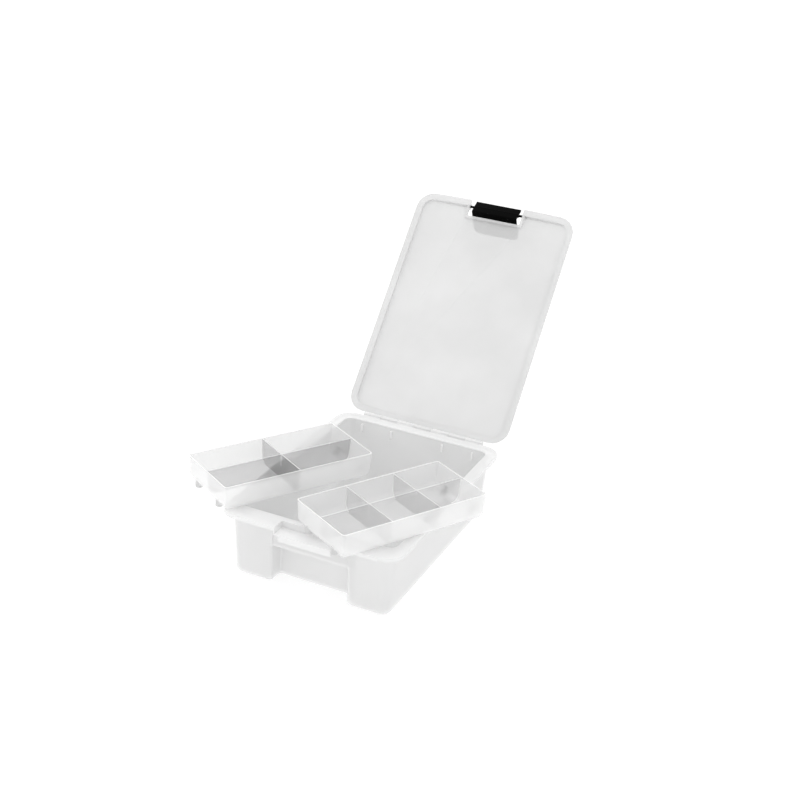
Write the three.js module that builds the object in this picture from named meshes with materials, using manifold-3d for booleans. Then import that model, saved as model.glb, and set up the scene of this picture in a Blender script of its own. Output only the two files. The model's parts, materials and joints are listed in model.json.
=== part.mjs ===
// Parts organizer: a clear box with a hinged lid, a black snap latch and two lift-out trays
// with divider inserts. Millimetres, +Z up, +X to the right, +Y to the hinge side at the back.
// The origin is the middle of the box's footprint, on the surface that the box stands on.
// The lid is shown open, the latch hanging from it, and the trays lying across the box's rim.
import * as THREE from 'three';
import { mergeVertices } from 'three/addons/utils/BufferGeometryUtils.js';
import Module from 'manifold-3d';

const wasm = await Module();
wasm.setup();

// ---------------------------------------------------------------- driving dimensions
const RIM_WIDTH = 280;
const RIM_DEPTH = 400;
const RIM_CORNER = 28;
const RIM_TOP = 105;
const WALL = 2;
const GAP = 0.3;
const SKIRT_DEPTH = 6;

// Mouth of the box: the rim is narrow at the sides and back and wide at the front.
const MOUTH = { half: 123, front: -167, back: 182, corner: 14 };

// Box walls at the rim, drafted inwards towards the floor.
const BOX_HALF = { x: 129, y: 184.6 };
const BOX_WALL = 2.2;
const BOX_DRAFT = 5.8;
const BOX_CORNER = 20;
const BOX_CORNER_MIN = 6;
const BOX_FOOT_RADIUS = 8;
const FLOOR = 2.5;

// Finger recess in the middle of the front wall, deep below and shallow above.
const RECESS = { half: 58, deep: 30.6, shallow: 3.8, shelf: 63, edge: 5, root: 4 };
// Its corners take up one part in so many of its depth, and its sides lean out by a part of the draft.
const RECESS_CORNER_PARTS = 2.5;
const RECESS_LEAN_PARTS = 3;

// Pocket in the front rim that the latch folds into, and the catch plate that it hooks under.
const POCKET = { half: 47, back: -177, deck: 94.5 };
const CATCH = { half: 41, bottom: 84, fillet: 4, corner: 2 };

// Ribs under the back rim.
const RIB = { places: [-97, -45, 45, 97], width: 2.5, reach: 3, bottom: 85, top: 98 };

// Hinge along the back: knuckles on a rod.
const HINGE = { y: 204.5, z: 105, knuckle: 3.6, bore: 1.9, rod: 1.5, length: 210, count: 7, sideGap: 0.6 };
const HINGE_SEGMENTS = 16;

// Lid, given closed: a border on the rim and a raised panel.
const LID = {
  border: 2, step: 6.7, panelInset: 9, panelWall: 1.8, bow: 2, cornerMin: 4, openAngle: 129.5,
};
const LID_NOTCH = { half: 47, back: -173, wallOffset: 2, shoulder: 30, corner: 2 };
const LID_KNUCKLE_RISE = 0.1;

// Latch, given closed, from its pivot.
const LATCH = {
  pivotY: -190.5, pivotZ: 109, half: 40, pin: 2, pinBore: 2.4, pinReach: 51, openAngle: 203.6,
  spine: 3.4, plateInner: 10.1, plate: 2.4, top: 3, topPlate: 2.5, back: 12, drop: 46,
  toothTop: -26.5, toothDepth: 3, toothReach: 4.6, earWidth: 5, earHalf: 4.5, earTop: 3.7, corner: 10,
  tipThin: 0.8, tipRise: 6, bevel: 1.2, waistParts: 3, outlineCorner: 1,
};

// Trays: two alike, drafted, with rolled bottom edges and two small feet at each end.
const TRAY = {
  length: 246, width: 118.9, height: 41.2, wall: 1.8, draft: 2.4, corner: 5, cornerMin: 3, roll: 12,
};
const TRAY_FOOT = { offset: 32, fromEnd: 5.8, radius: 5.6, height: 11 };
const DIVIDER = { thickness: 1.6, drop: 0.4 };
const TRAY_SPOTS = [
  { name: 'tray_left', x: -110.5, y: -68.6, turn: -31.6, crossings: { '': 0 } },
  { name: 'tray_right', x: 86.8, y: -101.1, turn: -29.8, crossings: { _front: -1 / 6, _back: 1 / 6 } },
];

const ARC_STEPS = 5;
const ROLL_STEPS = [0, 0.1, 0.3, 0.6, 1];
const CIRCLE_TANGENT = 0.5523;
const REACH = 400;
const WELD_DISTANCE = 1e-4;
const SAME_POINT = 1e-6;

const CLEAR = { color: 0xe9ebec, roughness: 0.32, metalness: 0 };
const FROSTED = { color: 0xcfd2d4, roughness: 0.4, metalness: 0 };
const BLACK = { color: 0x0d0d0e, roughness: 0.45, metalness: 0 };

// ---------------------------------------------------------------- solids from geometry
function solid(geometry) {
  const bare = geometry.index ? geometry.toNonIndexed() : geometry.clone();
  bare.deleteAttribute('normal');
  bare.deleteAttribute('uv');
  const merged = mergeVertices(bare, WELD_DISTANCE);
  return new wasm.Manifold(new wasm.Mesh({
    numProp: 3,
    vertProperties: Float32Array.from(merged.attributes.position.array),
    triVerts: Uint32Array.from(merged.index.array),
  }));
}

function geometryOf(manifold) {
  const mesh = manifold.getMesh();
  const geometry = new THREE.BufferGeometry();
  geometry.setAttribute('position', new THREE.BufferAttribute(new Float32Array(mesh.vertProperties), 3));
  geometry.setIndex(new THREE.BufferAttribute(new Uint32Array(mesh.triVerts), 1));
  geometry.computeVertexNormals();
  return geometry;
}

function joined(manifolds) {
  return manifolds.reduce((sum, next) => sum.add(next));
}

// An axis-aligned block from its low and high corners.
function block(low, high) {
  const size = high.map((value, axis) => value - low[axis]);
  const geometry = new THREE.BoxGeometry(...size);
  geometry.translate(...low.map((value, axis) => value + size[axis] / 2));
  return solid(geometry);
}

// A cylinder along X, centred on (y, z), from x0 to x1.
function barrel(x0, x1, y, z, radius, segments = HINGE_SEGMENTS) {
  const geometry = new THREE.CylinderGeometry(radius, radius, x1 - x0, segments);
  geometry.rotateZ(Math.PI / 2);
  geometry.translate((x0 + x1) / 2, y, z);
  return solid(geometry);
}

// A shape drawn in the YZ plane, extruded along X from x0 to x1.
function profileAlongX(points, x0, x1) {
  const shape = new THREE.Shape(points.map(([y, z]) => new THREE.Vector2(y, z)));
  const geometry = new THREE.ExtrudeGeometry(shape, { depth: x1 - x0, bevelEnabled: false });
  geometry.applyMatrix4(new THREE.Matrix4().set(0, 0, 1, x0, 1, 0, 0, 0, 0, 1, 0, 0, 0, 0, 0, 1));
  return solid(geometry);
}

// A shape in the XY plane, extruded from z0 to z1.
function slab(shape, z0, z1) {
  const geometry = new THREE.ExtrudeGeometry(shape, {
    depth: z1 - z0, bevelEnabled: false, curveSegments: ARC_STEPS,
  });
  geometry.translate(0, 0, z0);
  return solid(geometry);
}

// ---------------------------------------------------------------- outlines and lofts
// A polygon with each corner rounded: corners are [x, y, radius], counter-clockwise.
function roundedShape(corners) {
  const shape = new THREE.Shape();
  corners.forEach(([x, y, radius], index) => {
    const corner = new THREE.Vector2(x, y);
    const before = new THREE.Vector2(...corners.at(index - 1).slice(0, 2));
    const after = new THREE.Vector2(...corners[(index + 1) % corners.length].slice(0, 2));
    const start = before.sub(corner).setLength(radius).add(corner);
    const end = after.sub(corner).setLength(radius).add(corner);
    const pullStart = start.clone().lerp(corner, CIRCLE_TANGENT);
    const pullEnd = end.clone().lerp(corner, CIRCLE_TANGENT);
    if (index === 0) shape.moveTo(start.x, start.y);
    else shape.lineTo(start.x, start.y);
    shape.bezierCurveTo(pullStart.x, pullStart.y, pullEnd.x, pullEnd.y, end.x, end.y);
  });
  shape.closePath();
  return shape;
}

function rectangle(halfX, halfY, radius) {
  return roundedShape([
    [-halfX, -halfY, radius], [halfX, -halfY, radius], [halfX, halfY, radius], [-halfX, halfY, radius],
  ]);
}

// Joins a stack of outlines, which all have the same number of points, into one closed body.
function loft(levels) {
  const rings = levels.map(({ shape, z }) => {
    const outline = shape.getPoints(ARC_STEPS);
    if (outline[0].distanceTo(outline.at(-1)) < SAME_POINT) outline.pop();
    return outline.map((point) => new THREE.Vector3(point.x, point.y, z));
  });
  const count = rings[0].length;
  const positions = rings.flat().flatMap((point) => point.toArray());
  const index = [];
  for (let level = 0; level < rings.length - 1; level += 1) {
    for (let side = 0; side < count; side += 1) {
      const low = level * count + side;
      const lowNext = level * count + ((side + 1) % count);
      index.push(low, lowNext, lowNext + count, low, lowNext + count, low + count);
    }
  }
  const capOffset = (rings.length - 1) * count;
  const flat = (ring) => ring.map((point) => new THREE.Vector2(point.x, point.y));
  for (const [a, b, c] of THREE.ShapeUtils.triangulateShape(flat(rings[0]), [])) index.push(a, c, b);
  for (const [a, b, c] of THREE.ShapeUtils.triangulateShape(flat(rings.at(-1)), [])) {
    index.push(capOffset + a, capOffset + b, capOffset + c);
  }
  const geometry = new THREE.BufferGeometry();
  geometry.setAttribute('position', new THREE.BufferAttribute(new Float32Array(positions), 3));
  geometry.setIndex(index);
  return solid(geometry);
}

// How far a rolled bottom edge of this radius draws in at a height above the bottom.
function rollInset(height, radius) {
  if (height >= radius) return 0;
  return radius - Math.sqrt(radius ** 2 - (radius - height) ** 2);
}

function rollHeights(radius) {
  return ROLL_STEPS.map((part) => part * radius);
}

// ---------------------------------------------------------------- storage box
// The box's outline at a height, drawn in by the draft and by extra, with a recess in its front.
// The recess wall stands upright, so that its depth is counted from the undrafted front.
function boxShape(z, extra, recessDepth) {
  const draft = BOX_DRAFT * (1 - z / RIM_TOP);
  const inset = draft + extra;
  const x = BOX_HALF.x - inset;
  const y = BOX_HALF.y - inset;
  const corner = Math.max(BOX_CORNER - inset, BOX_CORNER_MIN);
  if (!recessDepth) return rectangle(x, y, corner);
  const half = RECESS.half + draft / RECESS_LEAN_PARTS + extra;
  const depth = recessDepth - draft;
  const edge = Math.min(RECESS.edge, depth / RECESS_CORNER_PARTS);
  const root = Math.min(RECESS.root + extra, depth / RECESS_CORNER_PARTS);
  return roundedShape([
    [-x, -y, corner],
    [-half, -y, edge], [-half, -y + depth, root],
    [half, -y + depth, root], [half, -y, edge],
    [x, -y, corner], [x, y, corner], [-x, y, corner],
  ]);
}

// The box's outer body, or its inside when drawn in by the wall and raised by the floor.
function boxBody(wall, floor, shelfShift, top) {
  const shelf = RECESS.shelf + shelfShift;
  const ceiling = RIM_TOP - SKIRT_DEPTH + shelfShift;
  const overlap = 1;
  const level = (z, recess) => ({
    z, shape: boxShape(z, wall + rollInset(z - floor, BOX_FOOT_RADIUS), recess),
  });
  const lowHeights = rollHeights(BOX_FOOT_RADIUS).map((height) => height + floor);
  const low = loft([...lowHeights, shelf + overlap].map((z) => level(z, RECESS.deep)));
  const middle = loft([shelf, ceiling + overlap].map((z) => level(z, RECESS.shallow)));
  const high = loft([ceiling, top].map((z) => level(z, 0)));
  return joined([low, middle, high]);
}

function rim() {
  const bottom = RIM_TOP - SKIRT_DEPTH;
  const outer = slab(rectangle(RIM_WIDTH / 2, RIM_DEPTH / 2, RIM_CORNER), bottom, RIM_TOP);
  const under = slab(
    rectangle(RIM_WIDTH / 2 - WALL, RIM_DEPTH / 2 - WALL, RIM_CORNER - WALL), bottom - 1, RIM_TOP - WALL,
  );
  return outer.subtract(under);
}

function mouth() {
  const { half, front, back, corner } = MOUTH;
  const shape = roundedShape([
    [-half, front, corner], [half, front, corner], [half, back, corner], [-half, back, corner],
  ]);
  return slab(shape, RIM_TOP - WALL - 1, RIM_TOP + 1);
}

// The plate that hangs from the front rim under the latch pocket.
function catchPlate() {
  const skirtBottom = RIM_TOP - SKIRT_DEPTH + 1;
  const flare = CATCH.half + CATCH.fillet;
  const shape = new THREE.Shape();
  shape.moveTo(-flare, skirtBottom);
  shape.quadraticCurveTo(-CATCH.half, skirtBottom - 1, -CATCH.half, skirtBottom - CATCH.fillet);
  shape.lineTo(-CATCH.half, CATCH.bottom + CATCH.corner);
  shape.quadraticCurveTo(-CATCH.half, CATCH.bottom, -CATCH.half + CATCH.corner, CATCH.bottom);
  shape.lineTo(CATCH.half - CATCH.corner, CATCH.bottom);
  shape.quadraticCurveTo(CATCH.half, CATCH.bottom, CATCH.half, CATCH.bottom + CATCH.corner);
  shape.lineTo(CATCH.half, skirtBottom - CATCH.fillet);
  shape.quadraticCurveTo(CATCH.half, skirtBottom - 1, flare, skirtBottom);
  shape.closePath();
  const geometry = new THREE.ExtrudeGeometry(shape, {
    depth: WALL, bevelEnabled: false, curveSegments: ARC_STEPS,
  });
  geometry.rotateX(Math.PI / 2);
  geometry.translate(0, -RIM_DEPTH / 2 + WALL, 0);
  return solid(geometry);
}

// One knuckle: a ring round the hinge axis with a web towards the piece that carries it.
function knuckle(x0, x1, webZ0, webZ1) {
  const ring = barrel(x0, x1, HINGE.y, HINGE.z, HINGE.knuckle);
  const web = block([x0, RIM_DEPTH / 2 - 1, webZ0], [x1, HINGE.y, webZ1]);
  return ring.add(web);
}

function hingeBore() {
  return barrel(-HINGE.length, HINGE.length, HINGE.y, HINGE.z, HINGE.bore);
}

// The knuckles of one half of the hinge: even places on the box, odd places on the lid.
function knuckles(parity, webZ0, webZ1) {
  const pitch = HINGE.length / HINGE.count;
  const places = [...Array(HINGE.count).keys()].filter((place) => place % 2 === parity);
  return places.map((place) => {
    const start = -HINGE.length / 2 + place * pitch;
    return knuckle(start + HINGE.sideGap / 2, start + pitch - HINGE.sideGap / 2, webZ0, webZ1);
  });
}

function backRibs() {
  const wallY = (z) => BOX_HALF.y - BOX_DRAFT * (1 - z / RIM_TOP) - BOX_WALL;
  return RIB.places.map((x) => block(
    [x - RIB.width / 2, wallY(RIB.bottom) - RIB.reach, RIB.bottom],
    [x + RIB.width / 2, wallY(RIB.bottom) + BOX_WALL / 2, RIB.top],
  ));
}

function storageBox() {
  const { half, back, deck } = POCKET;
  const pocketShell = block([-half - WALL, -RIM_DEPTH / 2, deck - WALL], [half + WALL, back + WALL, RIM_TOP]);
  const pocket = block([-half, -REACH, deck], [half, back, REACH]);
  const inside = boxBody(BOX_WALL, FLOOR, BOX_WALL, RIM_TOP - WALL);
  return boxBody(0, 0, 0, RIM_TOP - WALL / 2)
    .subtract(inside)
    .add(rim())
    .subtract(mouth())
    .add(joined([pocketShell, catchPlate(), ...backRibs()]))
    .add(joined(knuckles(0, HINGE.z - HINGE.knuckle, RIM_TOP)))
    .subtract(pocket)
    .subtract(hingeBore());
}

function hingeRod() {
  return barrel(-HINGE.length / 2, HINGE.length / 2, HINGE.y, HINGE.z, HINGE.rod);
}

// ---------------------------------------------------------------- lid, closed
// The lid's outline drawn in by inset, with its front edge bowed forwards.
function lidShape(inset, notchSide, notchBack) {
  const x = RIM_WIDTH / 2 - inset;
  const y = RIM_DEPTH / 2 - inset;
  const corner = Math.max(RIM_CORNER - inset, LID.cornerMin);
  const bowed = (edgeX) => -y - LID.bow * (1 - (edgeX / x) ** 2);
  const { corner: small, shoulder } = LID_NOTCH;
  return roundedShape([
    [-x, -y, corner],
    [-notchSide - shoulder, bowed(notchSide + shoulder), small],
    [-notchSide, bowed(notchSide), small], [-notchSide, notchBack, small],
    [notchSide, notchBack, small], [notchSide, bowed(notchSide), small],
    [notchSide + shoulder, bowed(notchSide + shoulder), small],
    [x, -y, corner], [x, y, corner], [-x, y, corner],
  ]);
}

// Bosses at the notch's sides that hold the latch's pins.
function latchEars() {
  const bottom = RIM_TOP + GAP;
  return [-1, 1].map((side) => {
    const near = side * LID_NOTCH.half;
    const far = side * (LID_NOTCH.half + LATCH.earWidth);
    return block(
      [Math.min(near, far), LATCH.pivotY - LATCH.earHalf, bottom],
      [Math.max(near, far), LATCH.pivotY + LATCH.earHalf, LATCH.pivotZ + LATCH.earTop],
    );
  });
}

function lid() {
  const bottom = RIM_TOP + GAP;
  const { half, back, wallOffset } = LID_NOTCH;
  const border = slab(lidShape(0, half, back), bottom, bottom + LID.border);
  const raised = slab(
    lidShape(LID.panelInset, half + wallOffset, back + wallOffset),
    bottom,
    bottom + LID.step,
  );
  const hollow = slab(
    lidShape(LID.panelInset + LID.panelWall, half + wallOffset + WALL, back + wallOffset + WALL),
    bottom - 1,
    bottom + LID.step - WALL,
  );
  const pinBores = barrel(-REACH, REACH, LATCH.pivotY, LATCH.pivotZ, LATCH.pinBore);
  const lidKnuckles = knuckles(1, bottom + LID_KNUCKLE_RISE, HINGE.z + HINGE.knuckle);
  return joined([border, raised])
    .subtract(hollow)
    .add(joined(latchEars()))
    .subtract(pinBores)
    .add(joined(lidKnuckles))
    .subtract(hingeBore());
}

// ---------------------------------------------------------------- latch, closed
// Its side view from the pivot: a top plate, a front plate with a finger tab, and a hook.
function latch() {
  const { pivotY, pivotZ, half, top, plate, topPlate, plateInner, back, drop } = LATCH;
  const { tipThin, tipRise, bevel } = LATCH;
  const at = (points) => points.map(([y, z]) => [pivotY + y, pivotZ + z]);
  const outer = -plateInner - plate;
  const lever = profileAlongX(at([
    [outer, -drop], [-plateInner - tipThin, -drop], [-plateInner, -drop + tipRise],
    [-plateInner, LATCH.toothTop - LATCH.toothDepth],
    [-plateInner + LATCH.toothReach, LATCH.toothTop - LATCH.toothDepth / 2],
    [-plateInner + LATCH.toothReach, LATCH.toothTop],
    [-plateInner, LATCH.toothTop], [-plateInner, top - topPlate],
    [back, top - topPlate], [back, top],
    [outer + bevel, top], [outer, top - bevel],
  ]), -half, half);
  const spine = barrel(-half, half, pivotY, pivotZ, LATCH.spine);
  const pins = barrel(-LATCH.pinReach, LATCH.pinReach, pivotY, pivotZ, LATCH.pin);
  return joined([lever, spine, pins]).intersect(latchOutline());
}

// The latch's front view: its lower corners are rounded.
function latchOutline() {
  const { half, drop, corner, pinReach, pivotZ, waistParts, outlineCorner } = LATCH;
  const low = pivotZ - drop;
  const waist = pivotZ - drop / waistParts;
  const side = pinReach + 1;
  const high = pivotZ + drop;
  const shape = roundedShape([
    [-half, low, corner], [half, low, corner], [half, waist, outlineCorner],
    [side, waist, outlineCorner], [side, high, outlineCorner],
    [-side, high, outlineCorner], [-side, waist, outlineCorner], [-half, waist, outlineCorner],
  ]);
  const geometry = new THREE.ExtrudeGeometry(shape, {
    depth: REACH, bevelEnabled: false, curveSegments: ARC_STEPS,
  });
  geometry.rotateX(Math.PI / 2);
  return solid(geometry);
}

// ---------------------------------------------------------------- trays, upright, centred
function trayShape(z, extra) {
  const inset = TRAY.draft * (1 - z / TRAY.height) + extra;
  const corner = Math.max(TRAY.corner - inset / 2, TRAY.cornerMin);
  return rectangle(TRAY.width / 2 - inset, TRAY.length / 2 - inset, corner);
}

function trayBody(wall, floor, top) {
  const heights = [...rollHeights(TRAY.roll).map((height) => height + floor), top];
  return loft(heights.map((z) => ({
    z, shape: trayShape(z, wall + rollInset(z - floor, TRAY.roll)),
  })));
}

// Round feet that fill the rolled ends of the bottom.
function trayFeet() {
  const { offset, fromEnd, radius, height } = TRAY_FOOT;
  const along = TRAY.length / 2 - fromEnd;
  return joined([-along, along].flatMap((y) => [-offset, offset].map((x) => {
    const geometry = new THREE.CylinderGeometry(radius, radius, height, HINGE_SEGMENTS);
    geometry.rotateX(Math.PI / 2);
    geometry.translate(x, y, height / 2);
    return solid(geometry);
  })));
}

function tray() {
  const inside = trayBody(TRAY.wall, TRAY.wall, TRAY.height + 1);
  return trayBody(0, 0, TRAY.height).add(trayFeet()).subtract(inside);
}

// The clear space of a tray that its dividers stand in, just short of its walls and floor.
function dividerSpace() {
  return trayBody(TRAY.wall + GAP, TRAY.wall + GAP, TRAY.height - DIVIDER.drop);
}

// A slot half as deep as the tray where two dividers cross.
function crossingSlot(y, fromTop) {
  const half = DIVIDER.thickness / 2 + GAP;
  const middle = TRAY.height / 2 + (fromTop ? -GAP / 2 : GAP / 2);
  const z0 = fromTop ? middle : -REACH;
  const z1 = fromTop ? REACH : middle;
  return block([-half, y - half, z0], [half, y + half, z1]);
}

function longDivider(crossings) {
  const half = DIVIDER.thickness / 2;
  const plate = block([-half, -REACH, 0], [half, REACH, TRAY.height]).intersect(dividerSpace());
  return crossings.reduce((sum, y) => sum.subtract(crossingSlot(y, true)), plate);
}

function crossDivider(y) {
  const half = DIVIDER.thickness / 2;
  return block([-REACH, y - half, 0], [REACH, y + half, TRAY.height])
    .intersect(dividerSpace())
    .subtract(crossingSlot(y, false));
}

// ---------------------------------------------------------------- scene graph
function piece(name, manifold, finish) {
  const mesh = new THREE.Mesh(geometryOf(manifold), new THREE.MeshStandardMaterial(finish));
  mesh.name = name;
  return mesh;
}

// A group turned about an axis along X through (y, z).
function turnedAboutX(y, z, degrees, children) {
  const pivot = new THREE.Group();
  pivot.position.set(0, y, z);
  pivot.rotation.x = THREE.MathUtils.degToRad(degrees);
  const content = new THREE.Group();
  content.position.set(0, -y, -z);
  content.add(...children);
  pivot.add(content);
  return pivot;
}

function openLid() {
  const latchGroup = turnedAboutX(LATCH.pivotY, LATCH.pivotZ, -LATCH.openAngle, [
    piece('latch', latch(), BLACK),
  ]);
  return turnedAboutX(HINGE.y, HINGE.z, -LID.openAngle, [piece('lid', lid(), CLEAR), latchGroup]);
}

function filledTray({ name, x, y, turn, crossings }) {
  const places = Object.values(crossings).map((part) => part * TRAY.length);
  const group = new THREE.Group();
  group.position.set(x, y, RIM_TOP + GAP);
  group.rotation.z = THREE.MathUtils.degToRad(turn);
  group.add(piece(name, tray(), CLEAR));
  group.add(piece(`${name}_long_divider`, longDivider(places), FROSTED));
  Object.keys(crossings).forEach((suffix, index) => {
    group.add(piece(`${name}_cross_divider${suffix}`, crossDivider(places[index]), FROSTED));
  });
  return group;
}

const group = new THREE.Group();
group.add(piece('storage_box', storageBox(), CLEAR));
group.add(piece('hinge_rod', hingeRod(), CLEAR));
group.add(openLid());
group.add(...TRAY_SPOTS.map(filledTray));

export default group;
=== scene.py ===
"""Looks for the parts organizer: translucent moulded plastic, a black latch, a bright studio."""
import json
import math

import bpy
from mathutils import Matrix, Vector


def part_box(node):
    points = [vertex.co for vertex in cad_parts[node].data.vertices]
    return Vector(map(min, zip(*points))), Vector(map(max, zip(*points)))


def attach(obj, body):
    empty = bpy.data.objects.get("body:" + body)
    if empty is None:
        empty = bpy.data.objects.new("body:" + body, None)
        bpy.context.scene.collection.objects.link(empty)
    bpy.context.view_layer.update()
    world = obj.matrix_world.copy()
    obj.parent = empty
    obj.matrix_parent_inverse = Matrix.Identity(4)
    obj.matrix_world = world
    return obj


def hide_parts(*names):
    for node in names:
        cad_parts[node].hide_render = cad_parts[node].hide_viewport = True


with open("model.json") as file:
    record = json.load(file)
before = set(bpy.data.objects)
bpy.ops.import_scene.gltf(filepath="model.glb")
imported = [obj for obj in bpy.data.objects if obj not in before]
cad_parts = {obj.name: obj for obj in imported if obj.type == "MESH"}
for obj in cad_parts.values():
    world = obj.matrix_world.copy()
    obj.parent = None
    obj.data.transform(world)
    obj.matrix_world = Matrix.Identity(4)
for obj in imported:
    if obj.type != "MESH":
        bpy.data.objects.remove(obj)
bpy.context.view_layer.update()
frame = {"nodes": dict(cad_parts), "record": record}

# ---------------------------------------------------------------- camera
# Angles in degrees, lengths in metres, lens and sensor in millimetres.
CAMERA = {
    "azimuth": 23.0295, "elevation": 24.3019, "roll": 4.1269,
    "target": Vector((0.0, 0.0, 0.1)), "distance": 2.09745,
    "right": 0.0490408, "up": 0.1225265, "lens": 62.94, "sensor": 36.0,
    "reach": 200,
}

# Each node's finish, and the radius in metres that its moulded edges are rounded to.
FINISHES = {
    "storage_box": ("clear", 0.0009),
    "hinge_rod": ("clear", 0.0002),
    "lid": ("lid", 0.0006),
    "latch": ("black", 0.0004),
    "tray_left": ("tray", 0.0004),
    "tray_right": ("tray", 0.0004),
    "tray_left_long_divider": ("divider", 0.0003),
    "tray_left_cross_divider": ("divider", 0.0003),
    "tray_right_long_divider": ("thin_divider", 0.0003),
    "tray_right_cross_divider_front": ("thin_divider", 0.0003),
    "tray_right_cross_divider_back": ("thin_divider", 0.0003),
}
SMOOTH_ANGLE = math.radians(32)
FLAT_ANGLE = math.radians(0.5)
WELD_DISTANCE = 0.00001
BEVEL_SEGMENTS = 2

# The plastic's refraction, its cloudiness, its grain (depth in metres) and its uneven gloss.
REFRACTION = 1.49
CLOUD = {"scale": 9.0, "detail": 3.0, "from": 0.3, "to": 0.7}
GRAIN_DETAIL = 4.0
GRAIN_DEPTH = 0.0002
GLOSS_SPREAD = 0.15
FINE_GRAIN = 900
FINE_BUMP = 0.08
LATCH_GRAIN = 1200
LATCH_BUMP = 0.30
LATCH_SPECULAR = 0.03


def plastic(name, low, high, alpha, roughness, grain, bump):
    """Moulded plastic: cloudy colour, a fine moulded grain and slightly uneven gloss."""
    material = bpy.data.materials.new(name)
    material.use_nodes = True
    nodes, links = material.node_tree.nodes, material.node_tree.links
    shader = nodes["Principled BSDF"]
    shader.inputs["Alpha"].default_value = alpha
    shader.inputs["IOR"].default_value = REFRACTION
    place = nodes.new("ShaderNodeTexCoord")

    cloud = nodes.new("ShaderNodeTexNoise")
    cloud.inputs["Scale"].default_value = CLOUD["scale"]
    cloud.inputs["Detail"].default_value = CLOUD["detail"]
    tint = nodes.new("ShaderNodeValToRGB")
    tint.color_ramp.elements[0].position = CLOUD["from"]
    tint.color_ramp.elements[0].color = (*low, 1)
    tint.color_ramp.elements[1].position = CLOUD["to"]
    tint.color_ramp.elements[1].color = (*high, 1)
    links.new(place.outputs["Object"], cloud.inputs["Vector"])
    links.new(cloud.outputs["Fac"], tint.inputs["Fac"])
    links.new(tint.outputs["Color"], shader.inputs["Base Color"])

    speck = nodes.new("ShaderNodeTexNoise")
    speck.inputs["Scale"].default_value = grain
    speck.inputs["Detail"].default_value = GRAIN_DETAIL
    gloss = nodes.new("ShaderNodeMapRange")
    gloss.inputs["To Min"].default_value = roughness * (1 - GLOSS_SPREAD)
    gloss.inputs["To Max"].default_value = roughness * (1 + GLOSS_SPREAD)
    links.new(place.outputs["Object"], speck.inputs["Vector"])
    links.new(speck.outputs["Fac"], gloss.inputs["Value"])
    links.new(gloss.outputs["Result"], shader.inputs["Roughness"])

    relief = nodes.new("ShaderNodeBump")
    relief.inputs["Strength"].default_value = bump
    relief.inputs["Distance"].default_value = GRAIN_DEPTH
    links.new(speck.outputs["Fac"], relief.inputs["Height"])
    links.new(relief.outputs["Normal"], shader.inputs["Normal"])
    return material


def grey(value):
    return (value, value, value)


def shade(name, low, high, alpha, roughness, grain=FINE_GRAIN, bump=FINE_BUMP):
    """A neutral plastic whose cloudiness runs from the low grey to the high one."""
    return plastic(name, grey(low), grey(high), alpha, roughness, grain, bump)


def latch_plastic():
    """Black plastic with hardly any mirror-like shine."""
    material = shade("latch_face", 0.001, 0.003, 1.0, 0.60, LATCH_GRAIN, LATCH_BUMP)
    material.node_tree.nodes["Principled BSDF"].inputs["Specular IOR Level"].default_value = LATCH_SPECULAR
    return material


def both_sides(face, edge):
    """The materials of a finish that has the same one outside and inside, then its lighter edge copy, a
    painted highlight.
    """
    return [face, face, edge]


# Each finish lists its materials: outside, inside, rim or edge, and the box's edges or a tray's feet.
# Apart from the latch, they are copies of one plastic in different greys and opacities that paint light
# and shade: darker for shade, lighter and more opaque for highlights.
# A shade's numbers are its low grey, its high grey, its opacity and its roughness.
MATERIALS = {
    "clear": [
        shade("box_outside", 0.94, 0.97, 0.60, 0.30),
        # Painted shade: the box's faces inside its hollow take a darker, clearer copy of its plastic.
        shade("box_inside_painted_shade", 0.46, 0.53, 0.36, 0.34),
        # Painted light: the top rim, skirt and ribs take their own greyer, more opaque copy of the box's
        # plastic, tuned to how they catch the light; the rounded edges take a lighter, more opaque copy, a
        # painted highlight.
        shade("box_rim_painted_light", 0.88, 0.92, 0.64, 0.26),
        shade("box_edge_painted_highlight", 0.97, 0.99, 0.80, 0.24),
    ],
    "lid": both_sides(
        # Painted shade: the lid's faces take a darker grey than the box's same plastic. Painted highlight:
        # its rounded edges and hinge knuckles take a lighter copy.
        shade("lid_face_painted_shade", 0.70, 0.77, 0.64, 0.30),
        shade("lid_edge_painted_highlight", 0.84, 0.89, 0.60, 0.26),
    ),
    "tray": [
        shade("tray_outside", 0.95, 0.98, 0.42, 0.24),
        # Painted shade: the tray's inside faces take a darker, clearer copy of its plastic.
        shade("tray_inside_painted_shade", 0.84, 0.89, 0.32, 0.28),
        # Painted highlight: the tray's top rim and rounded edges take a more opaque white copy.
        shade("tray_rim_painted_highlight", 0.94, 0.98, 0.75, 0.22),
        # Painted shade: the feet under the tray's ends take a darker, more opaque grey.
        shade("tray_foot_painted_shade", 0.60, 0.66, 0.70, 0.30),
    ],
    "divider": both_sides(
        # Painted shade: the dividers' faces are a near-black, mostly clear grey that darkens whatever lies
        # behind them. Painted highlight: their tops and ends take a light, more opaque copy.
        shade("divider_face_painted_shade", 0.05, 0.09, 0.18, 0.40),
        shade("divider_edge_painted_highlight", 0.92, 0.96, 0.50, 0.32),
    ),
    "thin_divider": both_sides(
        # Painted shade and painted highlight as for the dividers, with fainter faces.
        shade("thin_face_painted_shade", 0.06, 0.10, 0.045, 0.40),
        shade("thin_edge_painted_highlight", 0.92, 0.96, 0.50, 0.32),
    ),
    "black": [latch_plastic()] * 3,
}
OUTSIDE, INSIDE, RIM, EXTRA = range(4)

# The material that an edge's rounding takes, where it isn't the rim's: on the box its lighter edge copy, a
# painted highlight. -1 keeps the face's own.
EDGE_MATERIAL = {"clear": EXTRA, "divider": -1, "thin_divider": -1}

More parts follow.
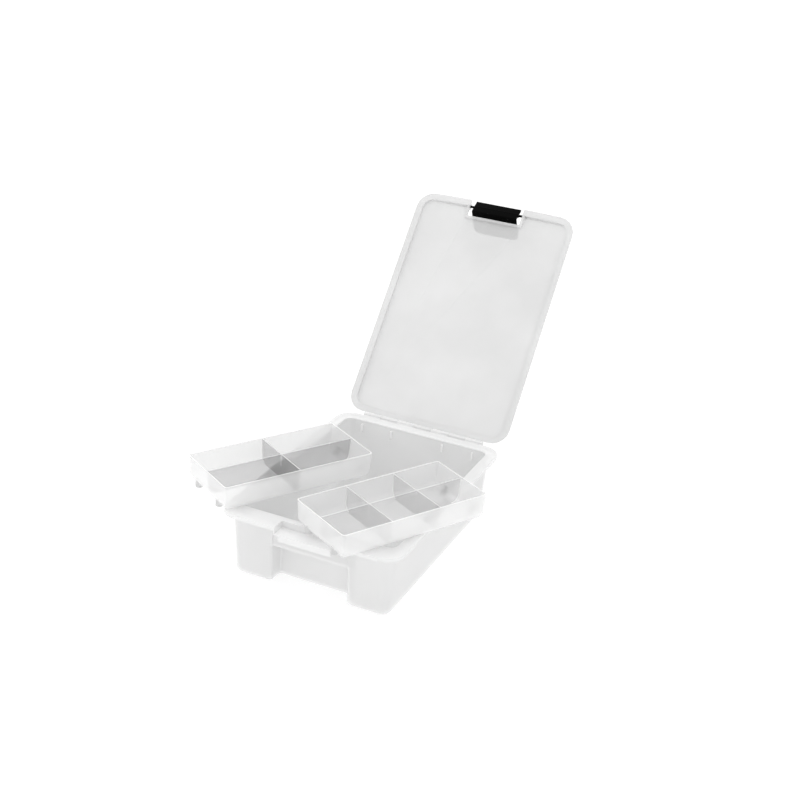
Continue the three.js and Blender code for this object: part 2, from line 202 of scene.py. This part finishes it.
# Places and sizes in metres that tell which surface of the moulding a face belongs to, and so where the
# painted shade and painted highlight copies go.
RIM_LEVEL = 0.1025
SKIRT_LEVEL = 0.0985
HOLLOW = Vector((0.1282, 0.1838))
HOLLOW_FLOOR = 0.002
BOX_DRAFT = 0.0058
BOX_HEIGHT = 0.105
RIBS = {"places": (0.045, 0.097), "half": 0.0016, "front": 0.1780, "bottom": 0.0845}
HINGE = {"y": 0.2045, "z": 0.105, "reach": 0.0065}
RECESS = {"half": 0.0615, "deep": -0.1525, "shallow": -0.1795, "shelf": 0.064}
POCKET = {"half": 0.049, "back": -0.1758, "deck": 0.0925}
INNER_CORNER = 0.0178
PROBE = 0.0015
EDGE_LINE = 0.0012
TRAY_FOOT = {"top": 0.116, "from_middle": 0.111, "offset": 0.032, "radius": 0.0060}
DIVIDER_END = 0.86

# The upward part of a face's normal at which it counts as turned down, turned up or level.
TURNED_DOWN = -0.2
TURNED_UP = 0.3
LEVEL = 0.7


def in_box_hollow(point):
    """Whether a point is in the space that the box holds things in."""
    draft = BOX_DRAFT * (1 - point.z / BOX_HEIGHT)
    if abs(point.x) > HOLLOW.x - draft or abs(point.y) > HOLLOW.y - draft or point.z < HOLLOW_FLOOR:
        return False
    past_x = abs(point.x) - (HOLLOW.x - draft - INNER_CORNER)
    past_y = abs(point.y) - (HOLLOW.y - draft - INNER_CORNER)
    if min(past_x, past_y) > 0 and math.hypot(past_x, past_y) > INNER_CORNER:
        return False
    if abs(point.x) < POCKET["half"] and point.y < POCKET["back"] and point.z > POCKET["deck"]:
        return False
    wall = RECESS["deep"] if point.z < RECESS["shelf"] else RECESS["shallow"]
    return abs(point.x) > RECESS["half"] or point.y > wall


def on_rib(point):
    """Whether a point is on one of the ribs behind the box's back rim."""
    beside = min(abs(abs(point.x) - place) for place in RIBS["places"])
    return beside < RIBS["half"] and point.y > RIBS["front"] and point.z > RIBS["bottom"]


def on_hinge(point):
    """Whether a point is on a hinge knuckle, with the lid as it stands at rest."""
    return math.hypot(point.y - HINGE["y"], point.z - HINGE["z"]) < HINGE["reach"]


def is_tray_foot(node, point):
    """Whether a point is on one of the four feet under a tray's ends."""
    low, high = (Vector(corner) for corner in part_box(node + "_long_divider"))
    middle = (low + high) / 2
    along = (high - low).to_2d().normalized()
    away = (point - middle).to_2d()
    lengthwise, across = abs(away.dot(along)), abs(away.cross(along))
    return (point.z < TRAY_FOOT["top"] and lengthwise > TRAY_FOOT["from_middle"]
            and abs(across - TRAY_FOOT["offset"]) < TRAY_FOOT["radius"])


def surface_of(node, centre, normal, low, high):
    """Which of its finish's materials a face takes, and so where painted shade and painted highlights go.
    """
    if node == "storage_box":
        on_rim = centre.z > RIM_LEVEL or (centre.z > SKIRT_LEVEL and not in_box_hollow(centre))
        if on_rim or on_rib(centre):
            return RIM
        if normal.z < TURNED_DOWN:
            return OUTSIDE
        return INSIDE if in_box_hollow(centre + normal * PROBE) else OUTSIDE
    if node in ("tray_left", "tray_right"):
        if centre.z > high.z - EDGE_LINE and normal.z > TURNED_UP:
            return RIM
        middle = (low + high) / 2
        if is_tray_foot(node, centre):
            return EXTRA
        outward = Vector((centre.x - middle.x, centre.y - middle.y, 0)).dot(normal)
        faces_in = outward < 0 if abs(normal.z) < LEVEL else normal.z > 0
        return INSIDE if faces_in else OUTSIDE
    if "_divider" in node:
        middle = (low + high) / 2
        from_middle = (centre - middle).to_2d().length / (high - middle).to_2d().length
        return RIM if centre.z > high.z - EDGE_LINE or from_middle > DIVIDER_END else OUTSIDE
    if node == "lid" and on_hinge(centre):
        return RIM
    return OUTSIDE


def round_edges(piece, finish, radius):
    """Welds the facets, merges the flat ones, rounds the edges and smooths the shading."""
    weld = piece.modifiers.new("weld", "WELD")
    weld.merge_threshold = WELD_DISTANCE
    merge = piece.modifiers.new("merge_flats", "DECIMATE")
    merge.decimate_type = "DISSOLVE"
    merge.angle_limit = FLAT_ANGLE
    edges = piece.modifiers.new("moulded_edges", "BEVEL")
    edges.width = radius
    edges.segments = BEVEL_SEGMENTS
    edges.limit_method = "ANGLE"
    edges.angle_limit = SMOOTH_ANGLE
    edges.use_clamp_overlap = True
    # The rounded edges take the finish's lighter edge or rim copy, a painted highlight; divider edges keep
    # the face's own.
    edges.material = EDGE_MATERIAL.get(finish, RIM)
    bpy.context.view_layer.objects.active = piece
    chosen = {"object": piece, "active_object": piece, "selected_objects": [piece]}
    for modifier in [m.name for m in piece.modifiers]:
        with bpy.context.temp_override(**chosen):
            bpy.ops.object.modifier_apply(modifier=modifier)
    with bpy.context.temp_override(**chosen, selected_editable_objects=[piece]):
        bpy.ops.object.shade_smooth_by_angle(angle=SMOOTH_ANGLE)


def paint_faces(piece, node):
    """Gives each face its material, apart from those that the rounding has given one."""
    low, high = (Vector(corner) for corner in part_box(node))
    for face in piece.data.polygons:
        if face.material_index not in (RIM, EXTRA):
            face.material_index = surface_of(node, face.center, face.normal, low, high)


def body_of(node):
    """The moving body that a node belongs to."""
    bodies = frame["record"]["behaviour"]["bodies"]
    return next(body for body, names in bodies.items() if node in names)


def moulded_copy(node, finish, radius):
    """Adds a rounded and painted copy of the node's shape, which rides on the node's body."""
    source = frame["nodes"][node]
    piece = bpy.data.objects.new(node + "_moulded", source.data.copy())
    bpy.context.scene.collection.objects.link(piece)
    piece.matrix_world = source.matrix_world.copy()
    piece.data.materials.clear()
    for material in MATERIALS[finish]:
        piece.data.materials.append(material)
    round_edges(piece, finish, radius)
    paint_faces(piece, node)
    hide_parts(node)
    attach(piece, body_of(node))


for node_name, (finish_name, edge_radius) in FINISHES.items():
    moulded_copy(node_name, finish_name, edge_radius)


# ---------------------------------------------------------------- studio
FLOOR = {"half": 40.0, "level": -0.001, "grey": 0.36, "roughness": 0.9, "glow": 0.68}
SURROUND_STRENGTH = 1.02
LIGHT_AIM = Vector((0, 0, 0.15))
LIGHTS = {
    "overhead": {"place": (0.0, 0.2, 2.6), "size": 2.6, "energy": 9},
    "left": {"place": (-2.2, -1.2, 1.7), "size": 1.8, "energy": 5},
}


def lit_floor():
    """A wide white floor that gives off light, like a light table."""
    half, level = FLOOR["half"], FLOOR["level"]
    corners = [(-half, -half, level), (half, -half, level), (half, half, level), (-half, half, level)]
    mesh = bpy.data.meshes.new("floor")
    mesh.from_pydata(corners, [], [(0, 1, 2, 3)])
    floor = bpy.data.objects.new("floor", mesh)
    bpy.context.scene.collection.objects.link(floor)
    material = bpy.data.materials.new("floor_white")
    material.use_nodes = True
    shader = material.node_tree.nodes["Principled BSDF"]
    shader.inputs["Base Color"].default_value = (*grey(FLOOR["grey"]), 1)
    shader.inputs["Roughness"].default_value = FLOOR["roughness"]
    shader.inputs["Emission Color"].default_value = (1, 1, 1, 1)
    shader.inputs["Emission Strength"].default_value = FLOOR["glow"]
    mesh.materials.append(material)


def white_surround():
    world = bpy.data.worlds.new("studio")
    world.use_nodes = True
    background = world.node_tree.nodes["Background"]
    background.inputs["Color"].default_value = (1, 1, 1, 1)
    background.inputs["Strength"].default_value = SURROUND_STRENGTH
    bpy.context.scene.world = world


def area_light(name, place, size, energy):
    """A square lamp turned towards the object."""
    light = bpy.data.lights.new(name, "AREA")
    light.size = size
    light.energy = energy
    lamp = bpy.data.objects.new(name, light)
    lamp.location = place
    lamp.rotation_euler = (LIGHT_AIM - Vector(place)).to_track_quat("-Z", "Y").to_euler()
    bpy.context.scene.collection.objects.link(lamp)


def camera():
    azimuth, elevation, roll = (math.radians(CAMERA[k]) for k in ("azimuth", "elevation", "roll"))
    back = Vector((math.sin(azimuth) * math.cos(elevation),
                   -math.cos(azimuth) * math.cos(elevation), math.sin(elevation)))
    level = Vector((0, 0, 1)).cross(back).normalized()
    upright = back.cross(level)
    right = level * math.cos(roll) + upright * math.sin(roll)
    up = upright * math.cos(roll) - level * math.sin(roll)
    place = (CAMERA["target"] + back * CAMERA["distance"]
             + right * CAMERA["right"] + up * CAMERA["up"])
    data = bpy.data.cameras.new("camera")
    data.lens = CAMERA["lens"]
    data.sensor_width = CAMERA["sensor"]
    data.clip_end = CAMERA["reach"]
    viewer = bpy.data.objects.new("camera", data)
    viewer.matrix_world = Matrix.Translation(place) @ Matrix((right, up, back)).transposed().to_4x4()
    bpy.context.scene.collection.objects.link(viewer)
    bpy.context.scene.camera = viewer


lit_floor()
white_surround()
for light_name, settings in LIGHTS.items():
    area_light(light_name, **settings)
camera()
bpy.context.scene.view_settings.view_transform = "Standard"
